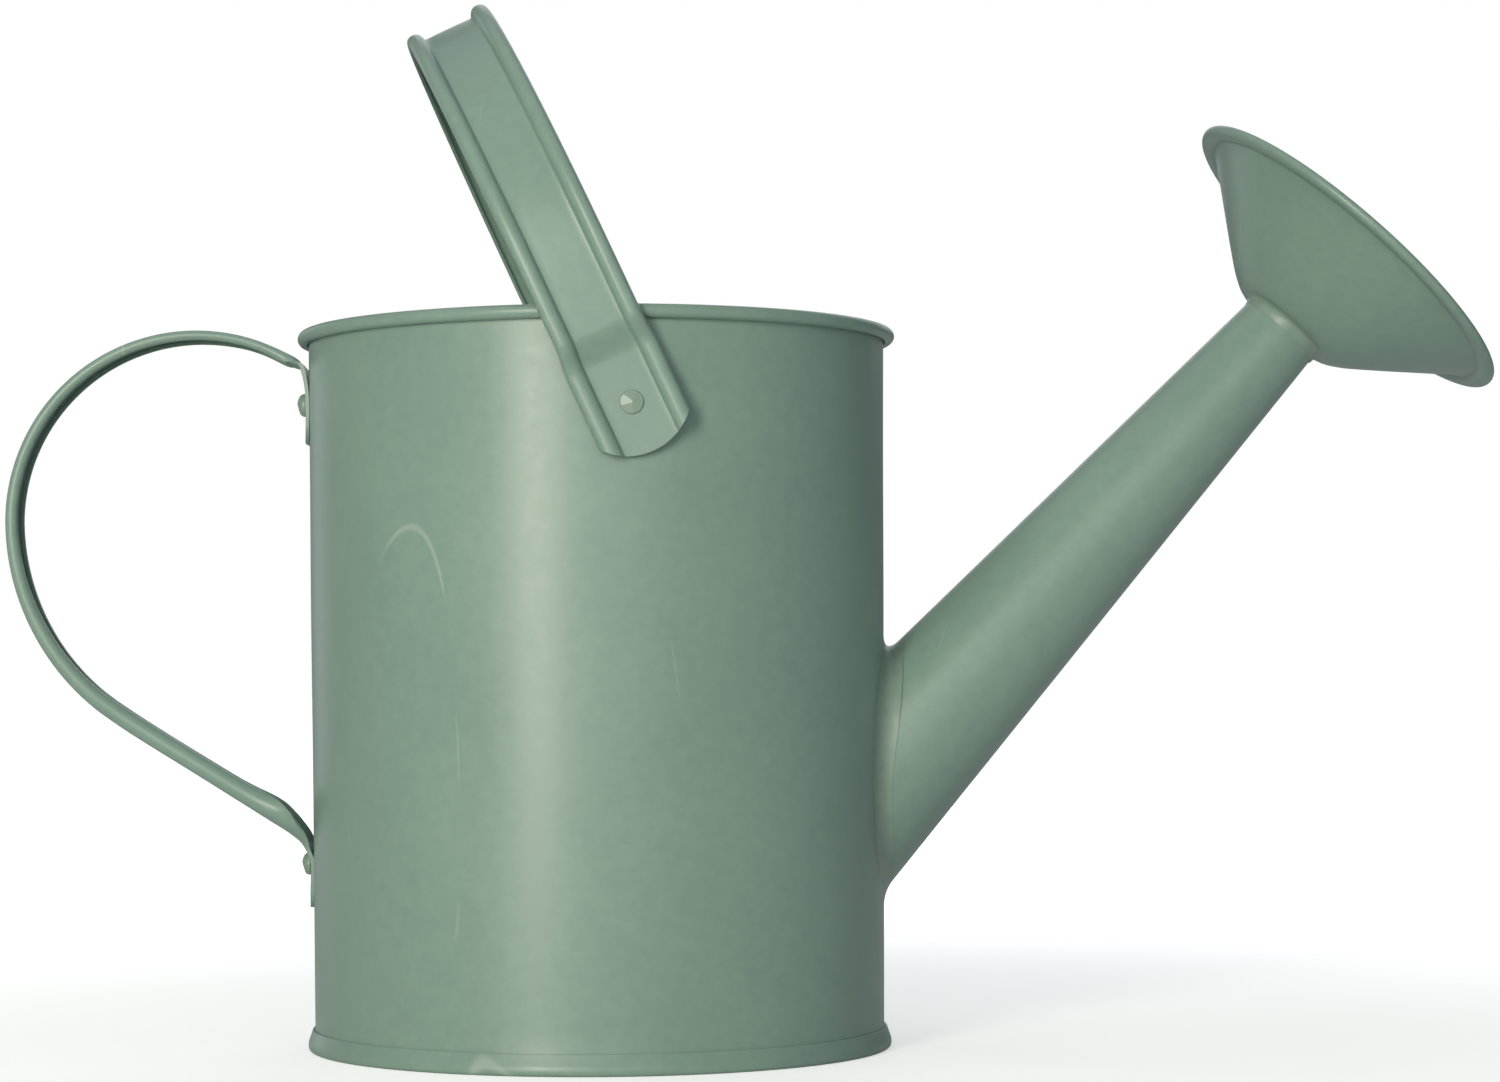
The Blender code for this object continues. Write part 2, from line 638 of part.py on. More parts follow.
def make_rivets():
    """Two pivot rivets along Y and two handle rivets along X."""
    seat = BODY_TOP_R + GAP + STRAP + GAP
    depth = inner_wall(PIVOT_Z - WASHER_R, PIVOT_X + WASHER_R) - seat
    for name, side in (("near", 1), ("far", -1)):
        frame = Matrix.Translation((PIVOT_X, -side * seat, PIVOT_Z)) @ Matrix.Rotation(side * pi / 2, 4, "X")
        make_rivet("pivot_rivet_" + name, frame, PIVOT_HEAD_R, PIVOT_HEAD, depth)
    for name, z, wall_z in (("upper", UPPER_RIVET_Z, RIM_Z), ("lower", LOWER_RIVET_Z, LOWER_RIVET_Z)):
        seat = body_radius(wall_z) + GAP + STRAP + GAP
        frame = Matrix.Translation((-seat, 0, z)) @ Matrix.Rotation(-pi / 2, 4, "Y")
        depth = inner_wall(z - WASHER_R, WASHER_R) - seat
        make_rivet("handle_rivet_" + name, frame, HANDLE_HEAD_R, HANDLE_HEAD, depth)


# ---------------------------------------------------------------- the whole can

for existing in list(bpy.data.objects):
    bpy.data.objects.remove(existing)

parts = bpy.data.collections.new("watering_can")
cutters = bpy.data.collections.new("cutters")
bpy.context.scene.collection.children.link(parts)
bpy.context.scene.collection.children.link(cutters)

face_reach = max(
    (ROSE_FRAME @ Vector((radius, 0, along))).x
    for radius, along in sheet_outline(rose_face_middle(), SHEET)
)
can = bpy.data.objects.new("body_axis", None)
can.location.x = (HANDLE_REACH - face_reach) / 2
parts.objects.link(can)

hole_r = SHANK_R + GAP
pivot_hole = cylinder_cutter(
    "pivot_hole",
    hole_r,
    3 * BODY_TOP_R,
    Matrix.Translation((PIVOT_X, 1.5 * BODY_TOP_R, PIVOT_Z)) @ Matrix.Rotation(pi / 2, 4, "X"),
)
upper_hole, lower_hole = (
    cylinder_cutter(
        name,
        hole_r,
        BODY_TOP_R,
        Matrix.Translation((-BODY_TOP_R / 2, 0, z)) @ Matrix.Rotation(-pi / 2, 4, "Y"),
    )
    for name, z in (("upper_hole", UPPER_RIVET_Z), ("lower_hole", LOWER_RIVET_Z))
)

make_body()
make_rim_wire()
make_base()
make_spout()
make_spout_solder()
make_rose()
make_bail()
make_rear_handle()
make_rivets()
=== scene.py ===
"""Finished look of the painted watering can: fine meshes, enamel and studio light round its fixed frame.

Every piece is worked out from the body's own axis, like the frame, and then moved onto it.
"""

from math import cos, pi, radians, sin, sqrt, tan

import bmesh
import bpy
from mathutils import Matrix, Vector, noise


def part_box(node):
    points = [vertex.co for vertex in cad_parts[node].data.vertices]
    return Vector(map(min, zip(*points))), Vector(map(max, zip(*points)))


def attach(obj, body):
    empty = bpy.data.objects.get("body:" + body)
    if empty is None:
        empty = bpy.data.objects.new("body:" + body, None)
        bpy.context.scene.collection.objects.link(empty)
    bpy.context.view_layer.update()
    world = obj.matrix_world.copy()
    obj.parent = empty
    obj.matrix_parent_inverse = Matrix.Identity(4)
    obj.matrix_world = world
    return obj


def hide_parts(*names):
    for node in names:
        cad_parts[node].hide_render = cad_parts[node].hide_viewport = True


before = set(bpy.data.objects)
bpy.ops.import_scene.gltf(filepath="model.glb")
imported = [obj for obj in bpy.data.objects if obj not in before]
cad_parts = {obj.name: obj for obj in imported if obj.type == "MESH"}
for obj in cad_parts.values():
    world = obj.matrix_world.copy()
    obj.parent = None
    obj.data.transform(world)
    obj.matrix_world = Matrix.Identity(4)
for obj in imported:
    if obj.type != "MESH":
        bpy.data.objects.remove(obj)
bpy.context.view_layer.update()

MM = 0.001
PAINT_GAP = 0.03 * MM             # what the enamel leaves between touching pieces
TURN_STEPS = 192
SPOUT_STEPS = 144
ROSE_STEPS = 168
RIVET_STEPS = 40
SINK = 0.02 * MM                  # how far an edge of solder runs into the piece it meets

# Body and base.
SHEET = 0.6 * MM
BODY_TOP_R = 71.6 * MM
BODY_FOOT_R = 70.9 * MM
RIM_Z = 176.3 * MM
CURL_R = 1.35 * MM
RIM_ROLL = radians(298)
BASE_RECESS = 4.5 * MM
SEAM_HEIGHT = 4.9 * MM
SEAM_SPREAD = 1.75 * MM
FLANGE_Z = 1.4 * MM               # lower edge of the wall inside the seam
FLANGE_SPREAD = 0.5 * MM

# Spout and rose.
SPOUT_ANGLE = radians(47.3)
SPOUT_ROOT_Z = 69.5 * MM
SPOUT_LENGTH = 148.8 * MM
SPOUT_ROOT_R = 19.8 * MM
SPOUT_TIP_R = 10.5 * MM
SPOUT_HOLE_R = 15.0 * MM
SPOUT_SLIP = 3.0 * MM
FILLET = 3.8 * MM                 # legs of the solder round the spout's root
ROSE_DEPTH = 23.8 * MM
ROSE_R = 47.3 * MM
ROSE_LIP = 4.9 * MM
ROSE_DOME = 5.0 * MM
DOME_R = 40.0 * MM                # where the dome runs out into the flat edge
DOME_FOOT = 0.6 * MM
ROSE_HOLE_R = 0.8 * MM
ROSE_HOLE_RINGS = 4
ROSE_HOLE_PITCH = 8.6 * MM

# Bail.
STRAP = 0.9 * MM
BAIL_ARCH_SHARE = 21.6 / 22.9     # the strap's width above the joggles, of its width below
BAIL_CROWN = 2.2 * MM             # middle of the strap on top of each bead
BAIL_REACH = 110.0 * MM
BAIL_TAIL = 12.3 * MM
BAIL_END_R = 15.3 * MM
BAIL_LEAN = radians(24.8)
BAIL_LOW = 72.35 * MM             # middle of the strap at the pivot, from the body's middle plane
BAIL_HIGH = 75.2 * MM             # and above the rim
JOGGLE_START = 10.5 * MM
JOGGLE_END = 18.5 * MM
PIVOT_X = 8.9 * MM
PIVOT_Z = 155.2 * MM

# Rear handle.
HANDLE_HALF = 9.0 * MM
HANDLE_ROLL = radians(205)
ROLL_TOP_R = 0.65 * MM
ROLL_BACK_R = 1.1 * MM
ROLL_LOW_R = 1.9 * MM
HANDLE_REACH = 147.1 * MM
HANDLE_Z = 131.2 * MM
UPPER_ARC_R = 47.6 * MM
UPPER_SLOPE = radians(28)
LOWER_ARC_R = 60.2 * MM
LOWER_SLOPE = radians(32.5)
UPPER_TAB_FOOT = 150.7 * MM
LOWER_TAB_FOOT = 35.3 * MM
TAB_CORNER = 4.0 * MM
UPPER_RIVET_Z = 160.5 * MM
LOWER_RIVET_Z = 46.0 * MM


def body_radius(z):
    """Outside radius of the body wall at a height."""
    share = (z - SEAM_HEIGHT) / (RIM_Z - SEAM_HEIGHT)
    return BODY_FOOT_R + (BODY_TOP_R - BODY_FOOT_R) * share


def spout_radius(along):
    """Outside radius of the spout at a distance along its axis."""
    return SPOUT_ROOT_R + (SPOUT_TIP_R - SPOUT_ROOT_R) * along / SPOUT_LENGTH


shell_low, shell_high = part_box("body_shell")
AXIS = Matrix.Translation(((shell_low[0] + shell_high[0]) / 2, 0, 0))
SPOUT_FRAME = (
    Matrix.Translation((body_radius(SPOUT_ROOT_Z), 0, SPOUT_ROOT_Z))
    @ Matrix.Rotation(pi / 2 - SPOUT_ANGLE, 4, "Y")
)
ROSE_FRAME = SPOUT_FRAME @ Matrix.Translation((0, 0, SPOUT_LENGTH + ROSE_DEPTH))
BAIL_FRAME = Matrix.Translation((PIVOT_X, 0, PIVOT_Z)) @ Matrix.Rotation(-BAIL_LEAN, 4, "Y")


# ---------------------------------------------------------------- materials

def linear(hex_colour):
    """Linear colour with alpha from an sRGB hex string."""
    shares = [int(hex_colour[i:i + 2], 16) / 255 for i in (0, 2, 4)]
    return [s / 12.92 if s <= 0.04045 else ((s + 0.055) / 1.055) ** 2.4 for s in shares] + [1.0]


def add_node(tree, kind, inputs=None, **settings):
    """Add a node. Its inputs take values or other nodes' outputs, and its settings are attributes."""
    made = tree.nodes.new(kind)
    for key, value in settings.items():
        setattr(made, key, value)
    for key, value in (inputs or {}).items():
        if isinstance(value, bpy.types.NodeSocket):
            tree.links.new(value, made.inputs[key])
        else:
            made.inputs[key].default_value = value
    return made


def enamel(name, deep, pale, roughness, lumps):
    """Sprayed satin enamel on steel sheet: an even colour that drifts a little, over a fine orange peel.

    It gives a soft broad highlight. Specks of dust sit in it, and handling leaves pale hairline scuffs.
    """
    material = bpy.data.materials.new(name)
    material.use_nodes = True
    tree = material.node_tree
    shader = tree.nodes["Principled BSDF"]
    place = add_node(tree, "ShaderNodeTexCoord").outputs["Object"]

    # The colour drifts over patches of about 35 mm, and mottles over 3 mm.
    patches = add_node(tree, "ShaderNodeTexNoise", {"Vector": place, "Scale": 28.0, "Detail": 2.0})
    mottle = add_node(tree, "ShaderNodeTexNoise", {"Vector": place, "Scale": 330.0, "Detail": 3.0})
    drift = add_node(
        tree, "ShaderNodeMath", {0: patches.outputs["Fac"], 1: mottle.outputs["Fac"]}, operation="ADD"
    )
    shade = add_node(
        tree,
        "ShaderNodeMapRange",
        {"Value": drift.outputs[0], "From Min": 0.65, "From Max": 1.35},
    )
    colour = add_node(
        tree,
        "ShaderNodeMix",
        {"Factor": shade.outputs[0], "A": linear(deep), "B": linear(pale)},
        data_type="RGBA",
    )

    # Dust specks 0.5 mm across, in a few cells of a 9 mm pattern. They are drawn coarse to show.
    cells = add_node(tree, "ShaderNodeTexVoronoi", {"Vector": place, "Scale": 110.0})
    chosen = add_node(
        tree, "ShaderNodeMath", {0: cells.outputs["Color"], 1: 0.16}, operation="LESS_THAN"
    )
    near = add_node(
        tree,
        "ShaderNodeMapRange",
        {
            "Value": cells.outputs["Distance"],
            "From Min": 0.02,
            "From Max": 0.035,
            "To Min": 1.0,
            "To Max": 0.0,
        },
    )
    speck = add_node(
        tree, "ShaderNodeMath", {0: chosen.outputs[0], 1: near.outputs[0]}, operation="MULTIPLY"
    )
    specked = add_node(
        tree,
        "ShaderNodeMix",
        {"Factor": speck.outputs[0], "A": colour.outputs["Result"], "B": linear("5C6A60")},
        data_type="RGBA",
    )

    # Hairline scuffs follow the contours of a stretched noise, and show only in scattered patches.
    stretched = add_node(
        tree, "ShaderNodeMapping", {"Vector": place, "Rotation": (0.3, 0.5, 0.2), "Scale": (1.0, 1.0, 0.35)}
    )
    contour = add_node(
        tree,
        "ShaderNodeTexNoise",
        {"Vector": stretched.outputs[0], "Scale": 14.0, "Detail": 0.0},
    )
    offset = add_node(tree, "ShaderNodeMath", {0: contour.outputs["Fac"], 1: 0.5}, operation="SUBTRACT")
    distance = add_node(tree, "ShaderNodeMath", {0: offset.outputs[0]}, operation="ABSOLUTE")
    hairline = add_node(
        tree,
        "ShaderNodeMapRange",
        {
            "Value": distance.outputs[0],
            "From Min": 0.0005,
            "From Max": 0.0018,
            "To Min": 1.0,
            "To Max": 0.0,
        },
    )
    spots = add_node(tree, "ShaderNodeTexNoise", {"Vector": place, "Scale": 42.0, "Detail": 0.0})
    scattered = add_node(
        tree, "ShaderNodeMapRange", {"Value": spots.outputs["Fac"], "From Min": 0.58, "From Max": 0.72}
    )
    scuff = add_node(
        tree, "ShaderNodeMath", {0: hairline.outputs[0], 1: scattered.outputs[0]}, operation="MULTIPLY"
    )
    faint = add_node(tree, "ShaderNodeMath", {0: scuff.outputs[0], 1: 0.3}, operation="MULTIPLY")
    scuffed = add_node(
        tree,
        "ShaderNodeMix",
        {"Factor": faint.outputs[0], "A": specked.outputs["Result"], "B": linear("BFC9BE")},
        data_type="RGBA",
    )
    tree.links.new(scuffed.outputs["Result"], shader.inputs["Base Color"])

    # Gloss varies a little with the patches, and a scuff is duller than the film round it.
    gloss = add_node(
        tree,
        "ShaderNodeMapRange",
        {
            "Value": mottle.outputs["Fac"],
            "From Min": 0.3,
            "From Max": 0.7,
            "To Min": roughness - 0.03,
            "To Max": roughness + 0.03,
        },
    )
    dulled = add_node(
        tree, "ShaderNodeMath", {0: scuff.outputs[0], 1: 0.1, 2: gloss.outputs[0]}, operation="MULTIPLY_ADD"
    )
    tree.links.new(dulled.outputs[0], shader.inputs["Roughness"])

    # Orange peel about 1.1 mm across under softer waves about 6 mm across.
    peel = add_node(tree, "ShaderNodeTexNoise", {"Vector": place, "Scale": 900.0, "Detail": 2.0})
    waves = add_node(tree, "ShaderNodeTexNoise", {"Vector": place, "Scale": 160.0, "Detail": 2.0})
    relief = add_node(
        tree,
        "ShaderNodeMath",
        {0: waves.outputs["Fac"], 1: lumps, 2: peel.outputs["Fac"]},
        operation="MULTIPLY_ADD",
    )
    grain = add_node(
        tree,
        "ShaderNodeMath",
        {0: speck.outputs[0], 1: 1.5, 2: relief.outputs[0]},
        operation="MULTIPLY_ADD",
    )
    bump = add_node(
        tree, "ShaderNodeBump", {"Height": grain.outputs[0], "Strength": 0.35, "Distance": 0.00003}
    )
    tree.links.new(bump.outputs[0], shader.inputs["Normal"])
    shader.inputs["IOR"].default_value = 1.5
    return material


def zinc(name):
    """Zinc-plated steel, dulled: a grey metal with a faint spangle and no colour of its own."""
    material = bpy.data.materials.new(name)
    material.use_nodes = True
    tree = material.node_tree
    shader = tree.nodes["Principled BSDF"]
    place = add_node(tree, "ShaderNodeTexCoord").outputs["Object"]
    spangle = add_node(tree, "ShaderNodeTexVoronoi", {"Vector": place, "Scale": 500.0})
    tone = add_node(
        tree,
        "ShaderNodeMix",
        {"Factor": spangle.outputs["Distance"], "A": linear("A9ACAC"), "B": linear("8D9292")},
        data_type="RGBA",
    )
    tree.links.new(tone.outputs["Result"], shader.inputs["Base Color"])
    blur = add_node(
        tree, "ShaderNodeMapRange", {"Value": spangle.outputs["Distance"], "To Min": 0.38, "To Max": 0.5}
    )
    tree.links.new(blur.outputs[0], shader.inputs["Roughness"])
    shader.inputs["Metallic"].default_value = 0.9
    return material


SHEET_ENAMEL = enamel("satin_enamel_on_steel_sheet", "7D978C", "859F92", 0.36, 1.2)
RIVET_ENAMEL = enamel("satin_enamel_on_steel_rivet", "80968A", "8CA294", 0.34, 2.0)
SOLDER_ENAMEL = enamel("satin_enamel_on_solder", "7E9488", "8AA092", 0.38, 4.0)
WIRE_ZINC = zinc("dull_zinc_on_steel_wire")


# ---------------------------------------------------------------- shape tools

def arc(centre, radius, start, end, steps):
    """Points on an arc, from one angle to another."""
    angles = [start + (end - start) * i / steps for i in range(steps + 1)]
    return [(centre[0] + radius * cos(a), centre[1] + radius * sin(a)) for a in angles]


def eased(points, cut, steps=5):
    """The line with each inner corner turned into a curve that starts that far before it."""
    points = [Vector(point) for point in points]
    line = [points[0]]
    for back, here, ahead in zip(points, points[1:], points[2:]):
        to_back = back - here
        to_ahead = ahead - here
        start = here + to_back * min(0.49, cut / to_back.length)
        end = here + to_ahead * min(0.49, cut / to_ahead.length)
        for i in range(steps + 1):
            t = i / steps
            line.append(start * (1 - t) ** 2 + here * (2 * t * (1 - t)) + end * t ** 2)
    line.append(points[-1])
    return line


def flowing(stations, steps):
    """Smooth run through stations of several values each, spaced by the distance between the first two."""
    first = [2 * a - b for a, b in zip(stations[0], stations[1])]
    last = [2 * a - b for a, b in zip(stations[-1], stations[-2])]
    rows = [first] + [list(station) for station in stations] + [last]
    run = []
    for before, start, end, after in zip(rows, rows[1:], rows[2:], rows[3:]):
        gaps = [
            max(1e-6, sqrt((b[0] - a[0]) ** 2 + (b[1] - a[1]) ** 2)) ** 0.5
            for a, b in ((before, start), (start, end), (end, after))
        ]
        for i in range(steps):
            t = i / steps
            row = []
            for p0, p1, p2, p3 in zip(before, start, end, after):
                m1 = (p2 - p1) - gaps[1] * ((p2 - p0) / (gaps[0] + gaps[1]) - (p1 - p0) / gaps[0])
                m2 = (p2 - p1) + gaps[1] * ((p3 - p2) / gaps[2] - (p3 - p1) / (gaps[1] + gaps[2]))
                row.append(
                    p1 * (2 * t ** 3 - 3 * t ** 2 + 1)
                    + m1 * (t ** 3 - 2 * t ** 2 + t)
                    + p2 * (3 * t ** 2 - 2 * t ** 3)
                    + m2 * (t ** 3 - t ** 2)
                )
            run.append(row)
    run.append(list(stations[-1]))
    return run


def sheet_outline(middle, thickness, thinned=0):
    """Outline of a bent sheet from its middle line: its left side, then its right side back.

    A length can be given over which the sheet thins to a fine edge at its end.
    """
    points = [Vector(point) for point in middle]
    first = points[0]
    before = Vector((-points[1].x, points[1].y)) if first.x == 0 else first * 2 - points[1]
    points = [before] + points + [points[-1] * 2 - points[-2]]
    left = []
    right = []
    end = points[-2]
    for back, here, ahead in zip(points, points[1:], points[2:]):
        arriving = (here - back).normalized()
        leaving = (ahead - here).normalized()
        normal = Vector((-arriving.y, arriving.x))
        mitre = (normal + Vector((-leaving.y, leaving.x))).normalized()
        share = min(1, 0.15 + (end - here).length / thinned) if thinned else 1
        offset = mitre * (share * thickness / 2 / mitre.dot(normal))
        left.append(here + offset)
        right.append(here - offset)
    return left + right[::-1]


def skin(name, rows, joined=False, capped=False):
    """Mesh over rows of points, each row a closed loop. Joined rows close into a ring.

    Capped ends are closed between the two sides of a sheet's outline.
    """
    made = bmesh.new()
    grid = [[made.verts.new(point) for point in row] for row in rows]
    count = len(grid[0])
    pairs = list(zip(grid, grid[1:]))
    if joined:
        pairs.append((grid[-1], grid[0]))
    for row, following in pairs:
        for i in range(count):
            j = (i + 1) % count
            made.faces.new((row[i], row[j], following[j], following[i]))
    for row in (grid[0], grid[-1]) if capped else ():
        for i in range(count // 2 - 1):
            made.faces.new((row[i], row[i + 1], row[count - 2 - i], row[count - 1 - i]))
    bmesh.ops.remove_doubles(made, verts=made.verts, dist=0.000001)
    bmesh.ops.recalc_face_normals(made, faces=made.faces)
    mesh = bpy.data.meshes.new(name)
    made.to_mesh(mesh)
    made.free()
    return mesh


def turned(name, outline, steps, place=Matrix.Identity(4), wobble=None):
    """Mesh of an outline of (radius, height) points turned about the place's Z axis.

    A wobble gives how far a point at (angle, height) moves outward.
    """
    rows = []
    for step in range(steps):
        around = 2 * pi * step / steps
        row = []
        for radius, height in outline:
            out = radius + wobble(around, height) if wobble and radius > 0 else radius
            row.append(place @ Vector((out * cos(around), out * sin(around), height)))
        rows.append(row)
    return skin(name, rows, joined=True)


def less(mesh, cutter):
    """The mesh with the cutter taken out of it."""
    whole = bpy.data.objects.new("whole", mesh)
    tool = bpy.data.objects.new("tool", cutter)
    bpy.context.scene.collection.objects.link(whole)
    bpy.context.scene.collection.objects.link(tool)
    boolean = whole.modifiers.new("cut", "BOOLEAN")
    boolean.operation = "DIFFERENCE"
    boolean.object = tool
    bpy.context.view_layer.update()
    seen = whole.evaluated_get(bpy.context.evaluated_depsgraph_get())
    result = bpy.data.meshes.new_from_object(seen)
    bpy.data.objects.remove(whole)
    bpy.data.objects.remove(tool)
    return result


def add_piece(name, mesh, body, finish, nodes, edge=0.0, crease=radians(40)):
    """Put a mesh on the frame as a piece of that body. A given edge rounds its sharp edges."""
    mesh.transform(AXIS)
    mesh.name = name
    mesh.materials.clear()
    mesh.materials.append(finish)
    mesh.shade_smooth()
    mesh.set_sharp_from_angle(angle=crease)
    piece = bpy.data.objects.new(name, mesh)
    bpy.context.scene.collection.objects.link(piece)
    if edge:
        bevel = piece.modifiers.new("worn_edges", "BEVEL")
        bevel.width = edge
        bevel.segments = 2
        bevel.limit_method = "ANGLE"
        bevel.angle_limit = radians(50)
        bevel.harden_normals = True
    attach(piece, body)
    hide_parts(*nodes)
    return piece


# ---------------------------------------------------------------- body and base

def sheet_wobble(around, z):
    """Slow unevenness of hand-rolled sheet, up to about 0.1 mm."""
    spot = Vector((cos(around) * 1.6, sin(around) * 1.6, z / (45 * MM)))
    return 0.11 * MM * noise.noise(spot)


def make_body():
    """Wall with its curled rim, and its foot flared into the base seam."""
    wall_top = body_radius(RIM_Z) - SHEET / 2
    middle = arc((wall_top + CURL_R, RIM_Z), CURL_R, pi - RIM_ROLL, pi, 26)
    foot = SEAM_HEIGHT + 1.2 * MM
    rows = 40
    for i in range(1, rows + 1):
        z = RIM_Z + (foot - RIM_Z) * i / rows
        middle.append((body_radius(z) - SHEET / 2, z))
    middle.append((BODY_FOOT_R - SHEET / 2 + FLANGE_SPREAD, FLANGE_Z))
    mesh = turned("body", sheet_outline(middle, SHEET), TURN_STEPS, wobble=sheet_wobble)
    hole = bpy.data.meshes.new("spout_hole")
    rod = bmesh.new()
    bmesh.ops.create_cone(
        rod,
        cap_ends=True,
        segments=64,
        radius1=SPOUT_HOLE_R,
        radius2=SPOUT_HOLE_R,
        depth=2 * SPOUT_ROOT_R,
        matrix=SPOUT_FRAME,
    )
    rod.to_mesh(hole)
    rod.free()
    add_piece("wall_and_rim", less(mesh, hole), "can", SHEET_ENAMEL, ["body_shell"])


def make_base():
    """Recessed panel, and the round bead of the seam that holds it on the wall."""
    half = SHEET / 2
    skirt = BODY_FOOT_R - SHEET - 0.3 * MM - half
    hook = BODY_FOOT_R + SEAM_SPREAD - half
    middle = [
        (0, BASE_RECESS),
        (30 * MM, BASE_RECESS),
        (skirt, BASE_RECESS),
        (skirt, half),
        (hook - 0.1 * MM, half),
        (hook + 0.05 * MM, 1.7 * MM),
        (hook - 0.55 * MM, 3.4 * MM),
        (BODY_FOOT_R + PAINT_GAP + half, SEAM_HEIGHT + 0.2 * MM),
    ]
    line = eased(middle, 0.7 * MM, 5)
    line[0] = Vector((0, BASE_RECESS))
    mesh = turned("base", sheet_outline(line, SHEET), TURN_STEPS)
    add_piece("base_and_seam", mesh, "can", SHEET_ENAMEL, ["base_pan"], 0.12 * MM)


# ---------------------------------------------------------------- spout and rose

def spout_point(around, along, radius):
    """Point on or in the spout, from the body's axis."""
    return SPOUT_FRAME @ Vector((radius * cos(around), radius * sin(around), along))


def spout_root(around, inset, clear):
    """How far along the axis a line down the spout, that far inside its surface, is clear of the wall."""
    low = -2 * SPOUT_ROOT_R
    high = 2 * SPOUT_ROOT_R
    for _ in range(40):
        along = (low + high) / 2
        point = spout_point(around, along, spout_radius(along) - inset)
        inside = Vector((point.x, point.y)).length < body_radius(point.z) + clear
        low, high = (along, high) if inside else (low, along)
    return along


def make_spout():
    """Tapered tube whose root follows the wall."""
    tip = SPOUT_LENGTH + SPOUT_SLIP
    count = 60
    rows = []
    for step in range(SPOUT_STEPS):
        around = 2 * pi * step / SPOUT_STEPS
        outer = spout_root(around, 0, 0)
        inner = spout_root(around, SHEET, 0)
        row = []
        for i in range(count + 1):
            along = outer + (tip - outer) * i / count
            row.append(spout_point(around, along, spout_radius(along)))
        for i in range(count, -1, -1):
            along = inner + (tip - inner) * i / count
            row.append(spout_point(around, along, spout_radius(along) - SHEET))
        rows.append(row)
    add_piece("spout", skin("spout", rows, joined=True), "can", SHEET_ENAMEL, ["spout_tube"])


def make_spout_fillet():
    """Solder run into the corner between spout and wall: a hollow curve that meets both of them flat."""
    rows = []
    taper = (SPOUT_ROOT_R - SPOUT_TIP_R) / SPOUT_LENGTH
    turn = SPOUT_FRAME.to_3x3()
    for step in range(SPOUT_STEPS):
        around = 2 * pi * step / SPOUT_STEPS
        along = spout_root(around, 0, 0)
        corner = spout_point(around, along, spout_radius(along))
        spout_normal = (turn @ Vector((cos(around), sin(around), taper))).normalized()
        body_normal = Vector((corner.x, corner.y, 0)).normalized()
        seam = body_normal.cross(spout_normal).normalized()
        up_spout = seam.cross(spout_normal).normalized()
        if up_spout.dot(body_normal) < 0:
            up_spout = -up_spout
        out_body = body_normal.cross(seam).normalized()
        if out_body.dot(spout_normal) < 0:
            out_body = -out_body
        uneven = 1 + 0.12 * noise.noise(Vector((cos(around) * 2, sin(around) * 2, 3.0)))
        leg = FILLET * uneven * (1 + 0.6 * max(0, -cos(around)))
        start = corner + up_spout * leg - spout_normal * SINK
        end = corner + out_body * leg - body_normal * SINK
        # The wall curves away, so the fillet's foot is set back onto it.
        reach = Vector((end.x, end.y)).length
        wall = body_radius(end.z) - SINK
        end = Vector((end.x * wall / reach, end.y * wall / reach, end.z))
        row = []
        for i in range(11):
            t = i / 10
            row.append(start * (1 - t) ** 2 + corner * (2 * t * (1 - t)) + end * t ** 2)
        row.append(corner - (spout_normal + body_normal) * 0.1 * MM)
        rows.append(row)
    mesh = skin("spout_fillet", rows, joined=True)
    add_piece("spout_root_solder", mesh, "can", SOLDER_ENAMEL, ["spout_solder"])


